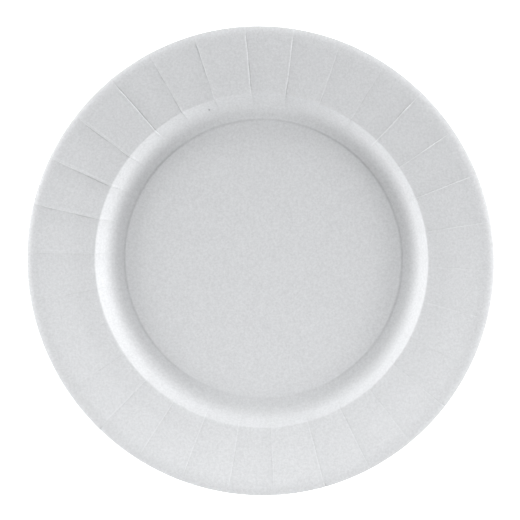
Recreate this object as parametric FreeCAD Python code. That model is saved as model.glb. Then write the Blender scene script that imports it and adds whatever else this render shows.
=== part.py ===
"""A round paper plate: one disc of white paperboard, pressed once into shape.

Frame: +Z up, the origin on the table under the plate's middle, sizes in millimetres and degrees.
From the middle outwards the board runs through these stretches:
  base panel   flat, a little higher than the foot
  step         the short slope round the panel, down to the foot
  foot         the narrow ring that the plate stands on
  wall         a wide sweep out of the foot, then a straight slope up to the crest
  rim          two shallow slopes, the outer one the steeper
  shoulder     the nearly level border of the rim
  lip          the last few millimetres, bent a little down to the cut edge
The spare board of the wall and the rim is taken up by folds at equal angles. At each fold the
board laps over itself and is pressed flat, so each face shows a low ridge: a sharp side where
the layer on top ends, and a flat side where the others run on under it.
"""

import math
import os

import FreeCAD
import Part

# The board
board_thickness = 0.45

# The plate, measured on the upper face
plate_diameter = 270.0
lip_skirt = 0.4
lip_angle = 24.0
lip_bend = 8.0
shoulder_width = 4.7
shoulder_slope = 3.0
shoulder_bend = 14.0
rim_width = 38.6
rim_inner_width = 12.8
rim_inner_slope = 9.0
rim_outer_slope = 15.0
rim_bend = 30.0
crest_bend = 1.3
well_depth = 9.5
wall_slope = 52.0
wall_sweep = 10.0
foot_width = 3.0
step_width = 1.2
step_bend = 0.4
panel_rise = 0.45

# The folds
fold_count = 30
first_fold_angle = 9.9
lap_height = 0.3
lap_angle = 0.68
lap_edge_angle = 0.1
lap_wall_share = 0.4
# The side that the layer on top comes from at each fold, going round anticlockwise from the
# first fold: c is the clockwise side and a the anticlockwise one
top_layers = "ccccaaaaccacccccccccccaccccacc"

# Points closer than this are one point
same_place = 0.001

origin = FreeCAD.Vector(0, 0, 0)
up = FreeCAD.Vector(0, 0, 1)


def tangent(degrees):
    return math.tan(math.radians(degrees))


def corners_of_the_upper_face():
    """The corners (r, z, inner bend radius) that the upper face runs through, from the axis out.

    The widths add up inwards from the cut edge, and the base panel takes what is left.
    """
    edge_r = plate_diameter / 2
    lip_tangent = (lip_bend + board_thickness) * tangent((lip_angle + shoulder_slope) / 2)
    lip_r = edge_r - (lip_tangent + lip_skirt) * math.cos(math.radians(lip_angle))
    lip_drop = (lip_tangent + lip_skirt) * math.sin(math.radians(lip_angle))
    shoulder_r = lip_r - shoulder_width
    crest_r = edge_r - rim_width
    break_r = crest_r + rim_inner_width
    wall_r = crest_r - well_depth / tangent(wall_slope)
    foot_r = wall_r - wall_sweep * tangent(wall_slope / 2) - foot_width
    panel_r = foot_r - step_width

    foot_z = board_thickness
    crest_z = foot_z + well_depth
    break_z = crest_z + rim_inner_width * tangent(rim_inner_slope)
    shoulder_z = break_z + (shoulder_r - break_r) * tangent(rim_outer_slope)
    lip_z = shoulder_z + shoulder_width * tangent(shoulder_slope)
    return [
        (0.0, foot_z + panel_rise, 0.0),
        (panel_r, foot_z + panel_rise, step_bend),
        (foot_r, foot_z, step_bend),
        (wall_r, foot_z, wall_sweep),
        (crest_r, crest_z, crest_bend),
        (break_r, break_z, rim_bend),
        (shoulder_r, shoulder_z, shoulder_bend),
        (lip_r, lip_z, lip_bend),
        (edge_r, lip_z - lip_drop, 0.0),
    ]


def unit(a, b):
    length = math.hypot(b[0] - a[0], b[1] - a[1])
    return ((b[0] - a[0]) / length, (b[1] - a[1]) / length)


def line_below(corners, depths):
    """The corners moved square to the board by each corner's own depth, with their bend radii.

    A depth of 0 is the upper face, the board's thickness the lower one, and less than 0 above it.
    A bend that turns upwards has its inside on the upper face, and one that turns down has it on
    the lower face.
    """
    moved = []
    for i, (r, z, bend) in enumerate(corners):
        before = unit(corners[max(i - 1, 0)], corners[max(i, 1)])
        last = len(corners) - 1
        after = unit(corners[min(i, last - 1)], corners[min(i + 1, last)])
        share = depths[i] / (1 + before[0] * after[0] + before[1] * after[1])
        across = (before[1] + after[1], -before[0] - after[0])
        turns_up = before[0] * after[1] - before[1] * after[0] > 0
        radius = bend + depths[i] if turns_up else bend + board_thickness - depths[i]
        moved.append((r + across[0] * share, z + across[1] * share, radius if bend else 0.0))
    return moved


def point(corner):
    return FreeCAD.Vector(corner[0], 0, corner[1])


def rounded_line(corners):
    """Straight runs joined by tangent arcs through the corners, as edges in the X-Z plane."""
    edges = []
    start = point(corners[0])
    for i in range(1, len(corners) - 1):
        r, z, radius = corners[i]
        into = unit(corners[i - 1], corners[i])
        out = unit(corners[i], corners[i + 1])
        turn = math.acos(into[0] * out[0] + into[1] * out[1])
        reach = radius * math.tan(turn / 2)
        middle_reach = radius / math.cos(turn / 2) - radius
        inwards = unit(into, out)
        arc_start = point((r - into[0] * reach, z - into[1] * reach))
        arc_middle = point((r + inwards[0] * middle_reach, z + inwards[1] * middle_reach))
        arc_end = point((r + out[0] * reach, z + out[1] * reach))
        edges.append(Part.LineSegment(start, arc_start).toShape())
        edges.append(Part.Arc(arc_start, arc_middle, arc_end).toShape())
        start = arc_end
    edges.append(Part.LineSegment(start, point(corners[-1])).toShape())
    return edges


def folded_zone(corners):
    """The corners from the middle of the foot out to the cut edge."""
    foot = corners[2]
    return [(foot[0] + foot_width / 2, foot[1], 0.0)] + corners[3:]


def wrap(corners, upper_rise, lower_rise):
    """The open section line out along the upper face, round the cut edge and back underneath.

    Each face can be raised off the board, in full from the crest outwards. The upper one starts
    to rise at the foot and the lower one above the sweep, clear of what the plate stands on.
    """
    full = [1.0] * (len(corners) - 2)
    above = [-upper_rise * share for share in [0.0, lap_wall_share] + full]
    below = [board_thickness + lower_rise * share for share in [0.0, 0.0] + full]
    upper = line_below(corners, above)
    lower = line_below(corners, below)
    cut = Part.LineSegment(point(upper[-1]), point(lower[-1])).toShape()
    return Part.Wire(rounded_line(upper) + [cut] + rounded_line(lower[::-1]))


def turned(shape, degrees):
    copy = shape.copy()
    copy.rotate(origin, up, degrees)
    return copy


def fold_and_panel(corners, side):
    """The faces of one fold about the X axis and of the plain panel anticlockwise of it.

    The upper layer comes from the given side (1 is anticlockwise) and ends in the ridge at the
    lap's other side. Underneath, the same fold has its ridge on the given side.
    """
    half = lap_angle / 2
    outer = half + lap_edge_angle
    plain = wrap(corners, 0.0, 0.0)
    above = wrap(corners, lap_height, 0.0)
    below = wrap(corners, 0.0, lap_height)
    lines = [
        turned(plain, -outer * side),
        turned(above, -half * side),
        turned(below, half * side),
        turned(plain, outer * side),
    ]
    fold = Part.makeLoft(lines[::side], False, True)
    panel = turned(plain, outer).revolve(origin, up, 360 / fold_count - 2 * outer)
    return fold.Faces + panel.Faces


def foot_ring(faces, z, inner_r, outer_r):
    """The flat ring at height z, from the step out to where the folds and panels begin."""
    outline = []
    for face in faces:
        for edge in face.Edges:
            gaps = [abs(math.hypot(v.X, v.Y) - outer_r) + abs(v.Z - z) for v in edge.Vertexes]
            if max(gaps) < same_place:
                outline.append(edge)
    hole = Part.makeCircle(inner_r, FreeCAD.Vector(0, 0, z))
    wires = [Part.Wire(Part.__sortEdges__(outline)), Part.Wire(hole)]
    return Part.makeFace(wires, "Part::FaceMakerBullseye")


def folded_plate():
    corners = corners_of_the_upper_face()
    zone = folded_zone(corners)
    hands = {"a": fold_and_panel(zone, 1), "c": fold_and_panel(zone, -1)}
    faces = []
    for k in range(fold_count):
        angle = first_fold_angle + k * 360 / fold_count
        faces += [turned(face, angle) for face in hands[top_layers[k % len(top_layers)]]]

    middle_corners = corners[:3] + zone[:1]
    for depth in (0.0, board_thickness):
        line = rounded_line(line_below(middle_corners, [depth] * len(middle_corners)))
        foot_run = line.pop()
        step_end, zone_start = (vertex.Point for vertex in foot_run.Vertexes)
        faces.append(foot_ring(faces, step_end.z, step_end.x, zone_start.x))
        faces += Part.Wire(line).revolve(origin, up, 360).Faces

    skin = Part.Compound(faces)
    skin.sewShape()
    return Part.Solid(Part.Shell(skin.Faces))


def main():
    os.makedirs("parts", exist_ok=True)
    plate = folded_plate()
    box = plate.optimalBoundingBox(True, False)
    print("solids", len(plate.Solids), "faces", len(plate.Faces), "valid", plate.isValid())
    print("volume", round(plate.Volume, 1), "size", box.XLength, box.YLength, box.ZLength)
    plate.exportStep("parts/plate.step")


if __name__ == "__main__":
    main()
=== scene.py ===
"""The looks of a round paper plate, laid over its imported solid.

Sizes are in metres and angles in radians, in the solid's own frame: +Z up, the origin on the
table under the plate's middle. The plate is one piece of white board. Python draws one pitch of
it, a slice with a fold along its middle, and a Geometry Nodes tree turns that slice round the
axis once for each fold and presses the folds into it.
"""

import math

import bpy
from bpy.props import (
    FloatProperty,
    FloatVectorProperty,
    IntProperty,
    PointerProperty,
    StringProperty,
)
from mathutils import Matrix, Vector


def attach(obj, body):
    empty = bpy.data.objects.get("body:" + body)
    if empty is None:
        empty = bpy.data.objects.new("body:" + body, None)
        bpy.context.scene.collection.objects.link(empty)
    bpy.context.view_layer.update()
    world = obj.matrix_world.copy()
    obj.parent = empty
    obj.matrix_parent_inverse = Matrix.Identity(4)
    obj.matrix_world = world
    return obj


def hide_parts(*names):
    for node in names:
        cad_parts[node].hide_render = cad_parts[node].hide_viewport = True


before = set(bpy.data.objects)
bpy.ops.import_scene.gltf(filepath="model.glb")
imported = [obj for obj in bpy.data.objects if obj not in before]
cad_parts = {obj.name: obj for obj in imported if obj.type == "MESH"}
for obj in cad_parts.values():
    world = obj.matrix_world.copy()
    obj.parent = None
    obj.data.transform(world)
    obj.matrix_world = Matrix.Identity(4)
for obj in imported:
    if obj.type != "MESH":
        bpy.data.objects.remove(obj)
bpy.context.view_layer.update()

bl_info = {
    "name": "Paper plate",
    "version": (1, 0, 0),
    "blender": (4, 5, 0),
    "location": "View3D > Sidebar > Plate",
    "description": "Builds a pressed paper plate and a small studio to look at it in",
    "category": "Object",
}

mm = 0.001
plate_node = "plate"


# Sizes and colours that a user would change


class PlateSizes(bpy.types.PropertyGroup):
    """The section of the pressed board, measured on its upper face."""

    diameter: FloatProperty(
        name="Diameter",
        description="Across the cut edge",
        default=269.9 * mm,
        unit="LENGTH",
    )
    thickness: FloatProperty(
        name="Board thickness",
        description="Thickness of the paperboard",
        default=0.45 * mm,
        unit="LENGTH",
    )
    lip_skirt: FloatProperty(
        name="Lip skirt",
        description="Straight end of the board past the bent lip",
        default=0.4 * mm,
        unit="LENGTH",
    )
    lip_angle: FloatProperty(
        name="Lip angle",
        description="How steeply the skirt points down",
        default=math.radians(24),
        subtype="ANGLE",
    )
    lip_bend: FloatProperty(
        name="Lip bend",
        description="Inner radius of the bent lip",
        default=8 * mm,
        unit="LENGTH",
    )
    shoulder_width: FloatProperty(
        name="Shoulder width",
        description="Nearly level border between the rim's slope and the lip",
        default=4.7 * mm,
        unit="LENGTH",
    )
    shoulder_slope: FloatProperty(
        name="Shoulder slope",
        description="Rise of that border",
        default=math.radians(3),
        subtype="ANGLE",
    )
    shoulder_bend: FloatProperty(
        name="Shoulder bend",
        description="Inner radius between the rim's slope and the border",
        default=14 * mm,
        unit="LENGTH",
    )
    rim_width: FloatProperty(
        name="Rim width",
        description="From the crest of the wall to the cut edge",
        default=38.6 * mm,
        unit="LENGTH",
    )
    rim_inner_width: FloatProperty(
        name="Inner rim width",
        description="From the crest to where the rim gets steeper",
        default=12.8 * mm,
        unit="LENGTH",
    )
    rim_inner_slope: FloatProperty(
        name="Inner rim slope",
        description="Rise of the rim next to the crest",
        default=math.radians(9),
        subtype="ANGLE",
    )
    rim_outer_slope: FloatProperty(
        name="Outer rim slope",
        description="Rise of the rim next to the lip",
        default=math.radians(15),
        subtype="ANGLE",
    )
    rim_bend: FloatProperty(
        name="Rim bend",
        description="Inner radius between the two slopes of the rim",
        default=30 * mm,
        unit="LENGTH",
    )
    crest_bend: FloatProperty(
        name="Crest bend",
        description="Inner radius between the wall and the rim",
        default=1.3 * mm,
        unit="LENGTH",
    )
    well_depth: FloatProperty(
        name="Well depth",
        description="From the foot's upper face up to the crest",
        default=9.5 * mm,
        unit="LENGTH",
    )
    wall_slope: FloatProperty(
        name="Wall slope",
        description="Slope of the straight part of the wall",
        default=math.radians(52),
        subtype="ANGLE",
    )
    wall_sweep: FloatProperty(
        name="Wall sweep",
        description="Inner radius between the foot and the wall",
        default=10 * mm,
        unit="LENGTH",
    )
    foot_width: FloatProperty(
        name="Foot width",
        description="Flat ring that the plate stands on",
        default=3 * mm,
        unit="LENGTH",
    )
    step_width: FloatProperty(
        name="Step width",
        description="Slope round the base panel",
        default=1.2 * mm,
        unit="LENGTH",
    )
    step_bend: FloatProperty(
        name="Step bend",
        description="Inner radius at the top and the bottom of the step",
        default=0.4 * mm,
        unit="LENGTH",
    )
    panel_rise: FloatProperty(
        name="Panel rise",
        description="Height of the base panel over the foot",
        default=0.45 * mm,
        unit="LENGTH",
    )


class FoldSizes(bpy.types.PropertyGroup):
    """The pressed laps that take up the spare board of the wall and the rim."""

    count: IntProperty(
        name="Folds",
        description="Number of folds round the plate",
        default=30,
    )
    first_angle: FloatProperty(
        name="First fold",
        description="Angle of the first fold, anticlockwise from +X",
        default=math.radians(9.9),
        subtype="ANGLE",
    )
    width: FloatProperty(
        name="Lap width",
        description="How far the layers of a fold lie over each other at the crest",
        default=1.15 * mm,
        unit="LENGTH",
    )
    height: FloatProperty(
        name="Lap height",
        description="How far the layer on top stands out",
        default=0.3 * mm,
        unit="LENGTH",
    )
    slit_width: FloatProperty(
        name="Slit width",
        description="Gap beside the layer on top",
        default=0.36 * mm,
        unit="LENGTH",
    )
    slit_depth: FloatProperty(
        name="Slit depth",
        description="Depth of that gap",
        default=0.3 * mm,
        unit="LENGTH",
    )
    lean: FloatProperty(
        name="Panel lean",
        description="How far the panel on top lifts towards its fold",
        default=0.05 * mm,
        unit="LENGTH",
    )
    wander: FloatProperty(
        name="Wander",
        description="How far a fold strays from a straight line",
        default=0.35 * mm,
        unit="LENGTH",
    )
    top_layers: StringProperty(
        name="Layers on top",
        description="Side the layer on top comes from at each fold: c clockwise, a anticlockwise",
        default="ccccaaaaccacccccccccccaccccacc",
    )
    lifts: StringProperty(
        name="Lifts",
        description="How open each fold stands, from 0 (pressed shut) to 9",
        default="356644777798984323544455534222",
    )
    nicked: StringProperty(
        name="Nicked folds",
        description="Folds whose gap opens into a nick at the cut edge, marked n",
        default="..................n....n..n...",
    )


class BoardLooks(bpy.types.PropertyGroup):
    """The finish of the paperboard, with the painted shade and the painted highlight along its folds.
    """

    colour: FloatVectorProperty(
        name="Board colour",
        description="Colour of the board",
        subtype="COLOR",
        size=3,
        default=(0.672, 0.682, 0.696),
        min=0,
        max=1,
    )
    roughness: FloatProperty(
        name="Roughness",
        description="Roughness of the board's surface",
        default=0.62,
        min=0,
        max=1,
    )
    mottle: FloatProperty(
        name="Mottle",
        description="How much the board's shade drifts from place to place",
        default=0.04,
    )
    flecks: FloatProperty(
        name="Flecks",
        description="How much the shade changes from fibre to fibre",
        default=0.48,
    )
    # Painted shade: the board is made darker down in a fold's gap, where the slit is in shadow
    painted_gap_shade: FloatProperty(
        name="Gap shade",
        description="How much darker the board is down in a fold's gap",
        default=0.25,
    )
    # Painted highlight: the board is made paler along the edge of each fold's top layer, where it
    # catches the light
    painted_ridge_highlight: FloatProperty(
        name="Ridge shade",
        description="How much paler the raised fibres along a fold are",
        default=0.22,
    )
    speck_place: FloatVectorProperty(
        name="Speck",
        description="Where the small dark speck lies on the wall, seen from above",
        size=2,
        default=(-30.7 * mm, 86.1 * mm),
        unit="LENGTH",
    )
    speck_size: FloatProperty(
        name="Speck size",
        description="Radius of the speck",
        default=0.5 * mm,
        unit="LENGTH",
    )
    grain: FloatProperty(
        name="Grain",
        description="Height of the paper grain",
        default=0.012 * mm,
        unit="LENGTH",
    )


class StudioSizes(bpy.types.PropertyGroup):
    """The camera's place and the light."""

    camera_tilt: FloatProperty(
        name="Camera tilt",
        description="How far the camera is from straight above",
        default=math.radians(8.2),
        subtype="ANGLE",
    )
    camera_side: FloatProperty(
        name="Camera side",
        description="Direction the camera leans to, anticlockwise from +X",
        default=math.radians(33),
        subtype="ANGLE",
    )
    camera_distance: FloatProperty(
        name="Camera distance",
        description="From the camera to the plate's rim",
        default=4.0,
        unit="LENGTH",
    )
    camera_aim: FloatVectorProperty(
        name="Camera aim",
        description="Where the middle of the picture lies, across the rim from the plate's axis",
        size=2,
        default=(0.2 * mm, 0.8 * mm),
        unit="LENGTH",
    )
    side_light: FloatProperty(
        name="Side light",
        description="Power of the low lamps to the left and the right",
        default=14.4,
        unit="POWER",
    )
    box_light: FloatProperty(
        name="Box light",
        description="Power of the higher lamps over those two",
        default=5.2,
        unit="POWER",
    )
    far_light: FloatProperty(
        name="Far light",
        description="Power of the lamp beyond the top of the picture",
        default=11.4,
        unit="POWER",
    )
    near_light: FloatProperty(
        name="Near light",
        description="Power of the lamp below the bottom of the picture",
        default=0.8,
        unit="POWER",
    )
    fill: FloatProperty(
        name="Fill",
        description="Strength of the light from all round",
        default=0.07,
    )


# Node trees written as expressions


class Value:
    """One socket of a node tree. Arithmetic on values adds the Math nodes for it."""

    def __init__(self, bench, socket):
        self.bench = bench
        self.socket = socket

    def math(self, operation, *others):
        inputs = dict(enumerate((self,) + others))
        return self.bench.value("ShaderNodeMath", {"operation": operation}, inputs)

    def __add__(self, other):
        return self.math("ADD", other)

    def __sub__(self, other):
        return self.math("SUBTRACT", other)

    def __mul__(self, other):
        return self.math("MULTIPLY", other)

    def __truediv__(self, other):
        return self.math("DIVIDE", other)

    def __neg__(self):
        return self.math("MULTIPLY", -1.0)

    def __rsub__(self, other):
        return (-self) + other

    def __rtruediv__(self, other):
        return self.math("POWER", -1.0) * other

    __radd__ = __add__
    __rmul__ = __mul__

    def clamped(self):
        return self.math("MAXIMUM", 0.0).math("MINIMUM", 1.0)

    def ramp(self, start, end):
        """0 up to start, 1 from end on, and a smooth rise between."""
        inputs = {"Value": self, "From Min": start, "From Max": end}
        return self.bench.value("ShaderNodeMapRange", {"interpolation_type": "SMOOTHSTEP"}, inputs)

    def slope(self, start, end):
        """0 up to start, 1 from end on, and a straight rise between."""
        inputs = {"Value": self, "From Min": start, "From Max": end}
        return self.bench.value("ShaderNodeMapRange", {"interpolation_type": "LINEAR"}, inputs)


class Bench:
    """A node tree in the making."""

    def __init__(self, tree):
        self.tree = tree

    def node(self, kind, settings=None, inputs=None):
        """Adds a node: its settings first, then the values and links of its sockets."""
        node = self.tree.nodes.new(kind)
        for name, setting in (settings or {}).items():
            setattr(node, name, setting)
        for key, given in (inputs or {}).items():
            socket = node.inputs[key]
            if isinstance(given, Value):
                self.tree.links.new(given.socket, socket)
            else:
                socket.default_value = given
        return node

    def value(self, kind, settings=None, inputs=None, output=0):
        """The named or numbered output of a new node."""
        return Value(self, self.node(kind, settings, inputs).outputs[output])


# One pitch of the board


def unit(a, b):
    length = math.hypot(b[0] - a[0], b[1] - a[1])
    return ((b[0] - a[0]) / length, (b[1] - a[1]) / length)


def section_corners(sizes):
    """The corners (r, z, inner bend radius) of the board's upper face, from the axis out."""
    edge_r = sizes.diameter / 2
    turn = (sizes.lip_angle + sizes.shoulder_slope) / 2
    lip_tangent = (sizes.lip_bend + sizes.thickness) * math.tan(turn)
    lip_r = edge_r - (lip_tangent + sizes.lip_skirt) * math.cos(sizes.lip_angle)
    lip_drop = (lip_tangent + sizes.lip_skirt) * math.sin(sizes.lip_angle)
    shoulder_r = lip_r - sizes.shoulder_width
    crest_r = edge_r - sizes.rim_width
    break_r = crest_r + sizes.rim_inner_width
    wall_r = crest_r - sizes.well_depth / math.tan(sizes.wall_slope)
    foot_r = wall_r - sizes.wall_sweep * math.tan(sizes.wall_slope / 2) - sizes.foot_width
    panel_r = foot_r - sizes.step_width

    foot_z = sizes.thickness
    crest_z = foot_z + sizes.well_depth
    break_z = crest_z + sizes.rim_inner_width * math.tan(sizes.rim_inner_slope)
    shoulder_z = break_z + (shoulder_r - break_r) * math.tan(sizes.rim_outer_slope)
    lip_z = shoulder_z + sizes.shoulder_width * math.tan(sizes.shoulder_slope)
    return [
        (0.0, foot_z + sizes.panel_rise, 0.0),
        (panel_r, foot_z + sizes.panel_rise, sizes.step_bend),
        (foot_r, foot_z, sizes.step_bend),
        (wall_r, foot_z, sizes.wall_sweep),
        (crest_r, crest_z, sizes.crest_bend),
        (break_r, break_z, sizes.rim_bend),
        (shoulder_r, shoulder_z, sizes.shoulder_bend),
        (lip_r, lip_z, sizes.lip_bend),
        (edge_r, lip_z - lip_drop, 0.0),
    ]


# Rings of the mesh on each straight run and round each bend, from the axis out
run_rings = (3, 1, 2, 4, 5, 6, 2, 1)
bend_rings = (3, 3, 10, 6, 2, 3, 8)


def section_points(sizes):
    """Points (r, z) and upward normals (r, z) along the upper face, from the axis out."""
    corners = section_corners(sizes)
    points = []
    start = corners[0][:2]
    for i in range(1, len(corners)):
        r, z, bend = corners[i]
        into = unit(corners[i - 1], corners[i])
        if i == len(corners) - 1:
            run_end = (r, z)
        else:
            out = unit(corners[i], corners[i + 1])
            turn = math.asin(into[0] * out[1] - into[1] * out[0])
            radius = bend if turn > 0 else bend + sizes.thickness
            reach = radius * math.tan(abs(turn) / 2)
            run_end = (r - into[0] * reach, z - into[1] * reach)
        rings = run_rings[i - 1]
        for k in range(rings):
            t = k / rings
            place = tuple(a + (b - a) * t for a, b in zip(start, run_end))
            points.append((place, (-into[1], into[0])))
        if i == len(corners) - 1:
            points.append((run_end, (-into[1], into[0])))
            break
        side = 1 if turn > 0 else -1
        centre = (run_end[0] - into[1] * radius * side, run_end[1] + into[0] * radius * side)
        for k in range(bend_rings[i - 1]):
            angle = turn * k / bend_rings[i - 1]
            normal = (
                -into[1] * math.cos(angle) - into[0] * math.sin(angle),
                into[0] * math.cos(angle) - into[1] * math.sin(angle),
            )
            place = (centre[0] - normal[0] * radius * side, centre[1] - normal[1] * radius * side)
            points.append((place, normal))
        start = (r + out[0] * reach, z + out[1] * reach)
    return points


# Columns of one pitch, in degrees from its fold. They are closest where the layers end.
fold_columns = (0.14, 0.24, 0.31, 0.36, 0.41, 0.47, 0.55, 0.68, 0.95, 2.0, 3.9, 6.0)

# The cut edge bulges by this share of the board's thickness, in this many rings
edge_round = 0.15
edge_rings = 3


def ring_line(sizes):
    """The closed line of the board's section: up over the top, round the cut edge and back.

    Each entry is (r, z, normal r, normal z, face), with face 1 above and -1 underneath.
    """
    upper = section_points(sizes)
    t = sizes.thickness
    line = [(r, z, nr, nz, 1.0) for (r, z), (nr, nz) in upper]
    (r, z), (nr, nz) = upper[-1]
    bulge = t * edge_round
    for k in range(1, edge_rings + 1):
        share = k / (edge_rings + 1)
        out = bulge * math.sin(math.pi * share)
        edge_point = (r - nr * t * share + nz * out, z - nz * t * share - nr * out)
        line.append((*edge_point, nr, nz, 1 - 2 * share))
    for (r, z), (nr, nz) in reversed(upper):
        line.append((r - nr * t, z - nz * t, nr, nz, -1.0))
    return line


def slice_mesh(sizes, folds):
    """One pitch of the board about its fold, which lies along +X, with no fold pressed in yet."""
    columns = [-c for c in reversed(fold_columns)] + [0.0] + list(fold_columns)
    half_pitch = math.pi / folds.count
    angles = [c / fold_columns[-1] * half_pitch for c in columns]
    line = ring_line(sizes)
    last = len(line) - 1
    vertices, normals, faces, across = [], [], [], []
    rows = []
    for i, (r, z, nr, nz, face) in enumerate(line):
        row = []
        for angle in angles[:1] if i in (0, last) else angles:
            row.append(len(vertices))
            vertices.append((r * math.cos(angle), r * math.sin(angle), z))
            normals.append((nr, nz))
            faces.append(face)
            across.append(0.0 if i in (0, last) else angle)
        rows.append(row)
    polygons = []
    for inner, outer in zip(rows, rows[1:]):
        for j in range(len(angles) - 1):
            if len(inner) == 1:
                polygons.append((inner[0], outer[j], outer[j + 1]))
            elif len(outer) == 1:
                polygons.append((inner[j], outer[0], inner[j + 1]))
            else:
                polygons.append((inner[j], outer[j], outer[j + 1], inner[j + 1]))
    mesh = bpy.data.meshes.new("board_slice")
    mesh.from_pydata(vertices, [], polygons)
    for name, numbers in (
        ("normal_r", [n[0] for n in normals]),
        ("normal_z", [n[1] for n in normals]),
        ("face_side", faces),
        ("across", across),
    ):
        mesh.attributes.new(name, "FLOAT", "POINT").data.foreach_set("value", numbers)
    return mesh


def fold_points_mesh(folds):
    """One point for each fold, all on the axis, with the fold's angle and how it lies."""
    mesh = bpy.data.meshes.new("fold_points")
    mesh.from_pydata([(0, 0, 0)] * folds.count, [], [])
    turns = [folds.first_angle + k * math.tau / folds.count for k in range(folds.count)]
    tops = folds.top_layers
    lifts = folds.lifts
    nicks = folds.nicked
    columns = {
        "turn": turns,
        "side": [1.0 if tops[k % len(tops)] == "a" else -1.0 for k in range(folds.count)],
        "lift": [int(lifts[k % len(lifts)]) / 9 for k in range(folds.count)],
        "nick": [1.0 if nicks[k % len(nicks)] == "n" else 0.0 for k in range(folds.count)],
    }
    for name, numbers in columns.items():
        mesh.attributes.new(name, "FLOAT", "POINT").data.foreach_set("value", numbers)
    return mesh


fold_tree_sizes = (
    "Lap Width",
    "Lap Height",
    "Slit Width",
    "Slit Depth",
    "Lean",
    "Wander",
    "Start Radius",
    "Crest Radius",
    "Edge Radius",
    "Half Pitch",
)

# Where the noise along a fold is read: how fast it changes outwards, and how far apart two folds
# lie in it
stray_rate = 90.0
stray_apart = 31.0
# A fold's gap is shut where the noise is under the first number, and open where it is over the
# second
shut_below = 0.42
open_above = 0.58

# The folds press flatter towards the cut edge: from and to these distances, by this share
edge_calm_start = 8 * mm
edge_calm_end = 3 * mm
edge_calm = 0.6
# A nick opens between these distances from the cut edge, and is wider than the gap by this many
# of the gap's widths
nick_start = 4 * mm
nick_end = 0.5 * mm
nick_widening = 2.0

# The gaps and the raised fibres fade out over the crest, between these distances from it
crest_fade_inner = 3 * mm
crest_fade_outer = 1 * mm

# The step at the end of the layer on top: where it starts and ends, across the fold
step_start = 0.18 * mm
step_end = 0.12 * mm
# The far end of the long slope, in half laps
slope_end = 1.4
# From the end of the layer on top to the near side of the gap
gap_offset = 0.15 * mm

# The line of painted highlight along that end
highlight_offset = 0.04 * mm
highlight_reach = 0.28 * mm
highlight_loss_at_gap = 0.5

# Depth below the board at which a gap has its full painted shade
full_shade_depth = 0.25 * mm

smallest_radius = 0.01 * mm
merge_distance = 0.002 * mm


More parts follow.
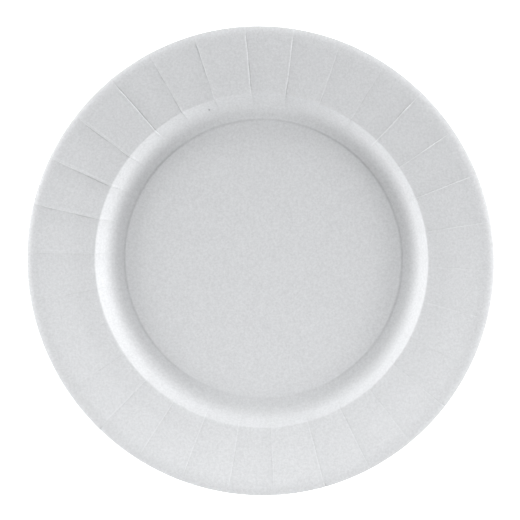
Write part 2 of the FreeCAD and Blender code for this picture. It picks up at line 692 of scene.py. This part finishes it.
def fold_tree(board):
    """The tree that turns the slice round the axis and presses a fold into each copy."""
    tree = bpy.data.node_groups.new("pressed_folds", "GeometryNodeTree")
    tree.interface.new_socket("Geometry", in_out="INPUT", socket_type="NodeSocketGeometry")
    tree.interface.new_socket("Slice", in_out="INPUT", socket_type="NodeSocketObject")
    for name in fold_tree_sizes:
        tree.interface.new_socket(name, in_out="INPUT", socket_type="NodeSocketFloat")
    tree.interface.new_socket("Geometry", in_out="OUTPUT", socket_type="NodeSocketGeometry")
    bench = Bench(tree)
    given = bench.node("NodeGroupInput")

    def size(name):
        return Value(bench, given.outputs[name])

    def attribute(name):
        return bench.value("GeometryNodeInputNamedAttribute", {"data_type": "FLOAT"}, {"Name": name})

    def vector(**parts):
        return bench.value("ShaderNodeCombineXYZ", None, parts)

    turn = vector(Z=attribute("turn"))
    board_slice = bench.value(
        "GeometryNodeObjectInfo",
        {"transform_space": "ORIGINAL"},
        {"Object": size("Slice")},
        "Geometry",
    )
    inputs = {"Points": size("Geometry"), "Instance": board_slice, "Rotation": turn}
    copies = bench.value("GeometryNodeInstanceOnPoints", None, inputs)
    whole = bench.value("GeometryNodeRealizeInstances", None, {"Geometry": copies})

    position = bench.value("GeometryNodeInputPosition")
    parts = bench.node("ShaderNodeSeparateXYZ", None, {"Vector": position})
    x, y = (Value(bench, parts.outputs[name]) for name in ("X", "Y"))
    radius = (x * x + y * y).math("SQRT").math("MAXIMUM", smallest_radius)
    out_x, out_y = x / radius, y / radius
    across = attribute("across")
    side = attribute("side")

    crest_radius = size("Crest Radius")
    edge_radius = size("Edge Radius")

    # How far the board has come into the folded zone, 0 at the foot and 1 from the crest out
    reach = radius.ramp(size("Start Radius"), crest_radius)
    on_rim = radius.ramp(crest_radius - crest_fade_inner, crest_radius + crest_fade_outer)
    nick = attribute("nick") * radius.ramp(edge_radius - nick_start, edge_radius - nick_end)
    calm = radius.ramp(edge_radius - edge_calm_start, edge_radius - edge_calm_end) * edge_calm
    lift = attribute("lift") * (1.0 - calm)

    # Each copy takes its own line through the noise
    noise = bench.value(
        "ShaderNodeTexNoise",
        {"noise_dimensions": "3D"},
        {
            "Vector": vector(X=radius * stray_rate, Y=attribute("turn") * stray_apart),
            "Scale": 1.0,
        },
    )
    window = (1.0 - across.math("ABSOLUTE") / size("Half Pitch")).clamped()
    stray = (noise - 0.5) * 2.0 * size("Wander") * window * reach
    openness = noise.slope(shut_below, open_above) * on_rim
    sideways = vector(X=-out_y * stray, Y=out_x * stray)
    half_lap = size("Lap Width") * 0.5 * radius / crest_radius

    def pressed(distance):
        """Height of the pressed layers: steep where the top layer ends, then a long slope.

        The distance is from the fold's line, towards the side that the layer on top comes from.
        """
        rise = distance.ramp(-half_lap - step_start, -half_lap + step_end)
        fall = 1.0 - distance.slope(-half_lap, half_lap * slope_end)
        half_gap = size("Slit Width") * (1.0 + nick * nick_widening) * 0.5
        middle = -half_lap - half_gap - gap_offset
        nearness = (1.0 - (distance - middle).math("ABSOLUTE") / half_gap).clamped()
        depth = size("Slit Depth") * (openness * lift + nick)
        return rise * fall * size("Lap Height") * lift - nearness * depth

    along = across * radius * side
    upper_share = (attribute("face_side") + 1.0) * 0.5
    leaning = along.math("SIGN") * window * size("Lean") * lift
    above = pressed(along) + leaning
    below = pressed(-along) - leaning
    height = (above * upper_share - below * (1.0 - upper_share)) * reach
    level = attribute("normal_r") * height
    outwards = vector(X=out_x * level, Y=out_y * level, Z=attribute("normal_z") * height)

    # A painted highlight along the edge of the layer on top, and painted shade down in the gaps
    from_ridge = (along + half_lap - highlight_offset).math("ABSOLUTE")
    raised = (1.0 - from_ridge / highlight_reach).clamped()
    raised = raised * lift * on_rim * upper_share * (1.0 - openness * highlight_loss_at_gap)
    shaded = (-height / full_shade_depth).clamped()
    for name, amount in (("gap", shaded), ("raised", raised)):
        whole = bench.value(
            "GeometryNodeStoreNamedAttribute",
            {"data_type": "FLOAT", "domain": "POINT"},
            {"Geometry": whole, "Name": name, "Value": amount},
        )
    offset = bench.value("ShaderNodeVectorMath", {"operation": "ADD"}, {0: sideways, 1: outwards})
    whole = bench.value("GeometryNodeSetPosition", None, {"Geometry": whole, "Offset": offset})
    inputs = {"Geometry": whole, "Distance": merge_distance}
    whole = bench.value("GeometryNodeMergeByDistance", None, inputs)
    whole = bench.value("GeometryNodeSetShadeSmooth", None, {"Geometry": whole})
    whole = bench.value("GeometryNodeSetMaterial", None, {"Geometry": whole, "Material": board})
    bench.node("NodeGroupOutput", None, {"Geometry": whole})
    return tree


def set_inputs(modifier, values):
    """Sets the modifier's inputs by their sockets' identifiers."""
    for item in modifier.node_group.interface.items_tree:
        if item.item_type == "SOCKET" and item.in_out == "INPUT" and item.name in values:
            modifier[item.identifier] = values[item.name]


def plain_mesh(source, name):
    """A plain object with the source's evaluated mesh. The source and its modifiers go."""
    bpy.context.view_layer.update()
    graph = bpy.context.evaluated_depsgraph_get()
    mesh = bpy.data.meshes.new_from_object(source.evaluated_get(graph))
    bpy.data.objects.remove(source)
    made = bpy.data.objects.new(name, mesh)
    bpy.context.scene.collection.objects.link(made)
    return made


# Scales of the board's noise, in steps to the metre
mottle_scale = 70.0
fibre_scale = 750.0
grain_scale = 2600.0
tooth_scale = 600.0
tooth_share = 0.8

board_ior = 1.45
# The speck's shade, as a share of the board's
speck_tone = 0.55


def paperboard(looks):
    """White uncoated board: a faint mottle, short fibres and a fine grain, with painted shade down in
    the folds' gaps and a painted highlight along the edges of their top layers.
    """
    material = bpy.data.materials.new("paperboard")
    material.use_nodes = True
    material.node_tree.nodes.clear()
    bench = Bench(material.node_tree)
    place = bench.value("ShaderNodeTexCoord", None, None, "Object")

    def noise(scale, detail, roughness=0.5):
        inputs = {"Vector": place, "Scale": scale, "Detail": detail, "Roughness": roughness}
        return bench.value("ShaderNodeTexNoise", None, inputs)

    cloud = noise(mottle_scale, 4.0) - 0.5
    flock = noise(fibre_scale, 3.0, 0.8) - 0.5
    shade = 1.0 + cloud * looks.mottle + flock * looks.flecks
    parts = bench.node("ShaderNodeSeparateXYZ", None, {"Vector": place})
    aside_x, aside_y = (Value(bench, parts.outputs[i]) - looks.speck_place[i] for i in (0, 1))
    from_speck = (aside_x * aside_x + aside_y * aside_y).math("SQRT")
    clear = from_speck.ramp(looks.speck_size * 0.5, looks.speck_size * 1.5)
    shade = shade * (speck_tone + (1.0 - speck_tone) * clear)
    gap, raised = (
        bench.value("ShaderNodeAttribute", {"attribute_name": name}, None, "Fac")
        for name in ("gap", "raised")
    )
    # Painted shade darkens the gaps and a painted highlight pales the edges of the top layers
    shade = shade * (1.0 - gap * looks.painted_gap_shade) * (1.0 + raised * looks.painted_ridge_highlight)
    channels = ("Red", "Green", "Blue")
    tint = bench.value("ShaderNodeCombineColor", None, dict.fromkeys(channels, shade))
    colour = bench.value(
        "ShaderNodeMix",
        {"data_type": "RGBA", "blend_type": "MULTIPLY"},
        {"Factor": 1.0, 6: (*looks.colour, 1.0), 7: tint},
        2,
    )
    relief = noise(grain_scale, 4.0, 0.65) + noise(tooth_scale, 2.0) * tooth_share
    inputs = {"Distance": looks.grain, "Height": relief}
    grain = bench.value("ShaderNodeBump", None, inputs, "Normal")
    shader = bench.node(
        "ShaderNodeBsdfPrincipled",
        None,
        {
            "Base Color": colour,
            "Roughness": looks.roughness,
            "IOR": board_ior,
            "Normal": grain,
        },
    )
    bench.node("ShaderNodeOutputMaterial", None, {"Surface": Value(bench, shader.outputs[0])})
    return material


class PressPlate(bpy.types.Operator):
    """Makes the pressed board with its folds"""

    bl_idname = "plate.press_board"
    bl_label = "Press the plate"

    def execute(self, context):
        sizes = context.scene.plate_sizes
        folds = context.scene.plate_folds
        board = paperboard(context.scene.plate_looks)
        corners = section_corners(sizes)
        cutter = bpy.data.objects.new("board_slice", slice_mesh(sizes, folds))
        source = bpy.data.objects.new("fold_points", fold_points_mesh(folds))
        context.scene.collection.objects.link(cutter)
        context.scene.collection.objects.link(source)
        modifier = source.modifiers.new("Folds", "NODES")
        modifier.node_group = fold_tree(board)
        set_inputs(
            modifier,
            {
                "Slice": cutter,
                "Lap Width": folds.width,
                "Lap Height": folds.height,
                "Slit Width": folds.slit_width,
                "Slit Depth": folds.slit_depth,
                "Lean": folds.lean,
                "Wander": folds.wander,
                "Start Radius": corners[3][0] - sizes.wall_sweep * 0.45,
                "Crest Radius": corners[4][0],
                "Edge Radius": corners[-1][0],
                "Half Pitch": math.pi / folds.count,
            },
        )
        piece = plain_mesh(source, "pressed_board")
        bpy.data.objects.remove(cutter)
        if not piece.data.polygons:
            raise RuntimeError("the fold tree gave no mesh")
        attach(piece, "root")
        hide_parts(plate_node)
        print("pressed_board triangles", sum(len(p.vertices) - 2 for p in piece.data.polygons))
        return {"FINISHED"}


# The studio

white = (1.0, 1.0, 1.0, 1.0)
floor_grey = (0.8, 0.8, 0.8, 1.0)
floor_glow = 0.88
floor_reach = 6.0

# The lamps' sizes, how far the side and far lamps are from the plate's middle, and their heights
lamp_size = 0.5
near_lamp_size = 0.25
low_lamp_distance = 1.185
low_lamp_height = 0.19
box_lamp_distance = 1.04
box_lamp_height = 0.6
near_lamp_distance = 0.44
near_lamp_height = 0.235
lamp_aim = (0.0, 0.0, 0.01)
# The right lamp is a little stronger than the side light and the left one a little weaker
side_imbalance = 0.04

# The picture's width and the radius of the plate's outline in it, in pixels
picture_width = 520.0
outline_radius = 235.4
film_width = 36.0


def backdrop_rays(bench):
    """1 for the rays that see the white background: straight, mirrored and through glass."""
    paths = bench.node("ShaderNodeLightPath")
    names = ("Is Camera Ray", "Is Glossy Ray", "Is Transmission Ray")
    camera, glossy, through = (Value(bench, paths.outputs[name]) for name in names)
    return camera.math("MAXIMUM", glossy).math("MAXIMUM", through)


def floor_material():
    """Pale floor that the camera sees as white where no shadow falls on it."""
    material = bpy.data.materials.new("white_floor")
    material.use_nodes = True
    material.node_tree.nodes.clear()
    bench = Bench(material.node_tree)
    diffuse = bench.value("ShaderNodeBsdfDiffuse", None, {"Color": floor_grey})
    glow = bench.value("ShaderNodeEmission", None, {"Color": white, "Strength": floor_glow})
    both = bench.value("ShaderNodeAddShader", None, {0: diffuse, 1: glow})
    inputs = {0: backdrop_rays(bench), 1: diffuse, 2: both}
    surface = bench.value("ShaderNodeMixShader", None, inputs)
    bench.node("ShaderNodeOutputMaterial", None, {"Surface": surface})
    return material


def square_lamp(name, place, size, power):
    """A soft square lamp that points at the plate."""
    light = bpy.data.lights.new(name, "AREA")
    light.shape = "SQUARE"
    light.size = size
    light.energy = power
    lamp = bpy.data.objects.new(name, light)
    lamp.location = place
    lamp.rotation_mode = "QUATERNION"
    lamp.rotation_quaternion = (Vector(lamp_aim) - Vector(place)).to_track_quat("-Z", "Y")
    bpy.context.scene.collection.objects.link(lamp)


class SetStage(bpy.types.Operator):
    """Makes the floor, the lamps and the camera"""

    bl_idname = "plate.set_stage"
    bl_label = "Set the stage"

    def execute(self, context):
        studio = context.scene.plate_studio
        sizes = context.scene.plate_sizes
        mesh = bpy.data.meshes.new("floor")
        signs = ((-1, -1), (1, -1), (1, 1), (-1, 1))
        mesh.from_pydata([(a * floor_reach, b * floor_reach, 0) for a, b in signs], [], [(0, 1, 2, 3)])
        mesh.materials.append(floor_material())
        floor = bpy.data.objects.new("floor", mesh)
        context.scene.collection.objects.link(floor)

        for name, side in (("right", 1), ("left", -1)):
            low_place = (side * low_lamp_distance, 0.0, low_lamp_height)
            box_place = (side * box_lamp_distance, 0.0, box_lamp_height)
            low_power = studio.side_light * (1 + side * side_imbalance)
            square_lamp(name + "_lamp", low_place, lamp_size, low_power)
            square_lamp(name + "_box", box_place, lamp_size, studio.box_light)
        far_place = (0.0, low_lamp_distance, low_lamp_height)
        near_place = (0.0, -near_lamp_distance, near_lamp_height)
        square_lamp("far_lamp", far_place, lamp_size, studio.far_light)
        square_lamp("near_lamp", near_place, near_lamp_size, studio.near_light)

        world = bpy.data.worlds.new("studio")
        world.use_nodes = True
        world.node_tree.nodes.clear()
        bench = Bench(world.node_tree)
        strength = studio.fill + backdrop_rays(bench) * (1.0 - studio.fill)
        glow = bench.value("ShaderNodeBackground", None, {"Color": white, "Strength": strength})
        bench.node("ShaderNodeOutputWorld", None, {"Surface": glow})
        context.scene.world = world
        context.scene.view_settings.view_transform = "Standard"

        corners = section_corners(sizes)
        edge_r, edge_z = corners[-1][:2]
        away = Vector(
            (
                math.sin(studio.camera_tilt) * math.cos(studio.camera_side),
                math.sin(studio.camera_tilt) * math.sin(studio.camera_side),
                math.cos(studio.camera_tilt),
            )
        )
        right = Vector((0, 1, 0)).cross(away).normalized()
        above = away.cross(right)
        view = bpy.data.cameras.new("view")
        view.sensor_width = film_width
        view.lens = film_width * outline_radius / picture_width * studio.camera_distance / edge_r
        view.clip_start = 0.05
        view.clip_end = 20.0
        camera_object = bpy.data.objects.new("view", view)
        centre = Vector((*studio.camera_aim, edge_z))
        turn = Matrix((right, above, away)).transposed().to_4x4()
        camera_object.matrix_world = Matrix.Translation(centre + away * studio.camera_distance) @ turn
        context.scene.collection.objects.link(camera_object)
        context.scene.camera = camera_object
        return {"FINISHED"}


class PlatePanel(bpy.types.Panel):
    """Lists the plate's operators and sizes"""

    bl_idname = "VIEW3D_PT_paper_plate"
    bl_label = "Paper plate"
    bl_space_type = "VIEW_3D"
    bl_region_type = "UI"
    bl_category = "Plate"

    def draw(self, context):
        column = self.layout.column()
        column.operator(PressPlate.bl_idname)
        column.operator(SetStage.bl_idname)
        for name in property_groups:
            box = column.box()
            group = getattr(context.scene, name)
            for key in group.bl_rna.properties.keys():
                if key not in ("rna_type", "name"):
                    box.prop(group, key)


property_groups = {
    "plate_sizes": PlateSizes,
    "plate_folds": FoldSizes,
    "plate_looks": BoardLooks,
    "plate_studio": StudioSizes,
}
classes = (*property_groups.values(), PressPlate, SetStage, PlatePanel)


def register():
    for cls in classes:
        bpy.utils.register_class(cls)
    for name, group in property_groups.items():
        setattr(bpy.types.Scene, name, PointerProperty(type=group))


def unregister():
    for name in property_groups:
        delattr(bpy.types.Scene, name)
    for cls in reversed(classes):
        bpy.utils.unregister_class(cls)


def main():
    register()
    bpy.ops.plate.press_board()
    bpy.ops.plate.set_stage()


if __name__ == "__main__":
    main()
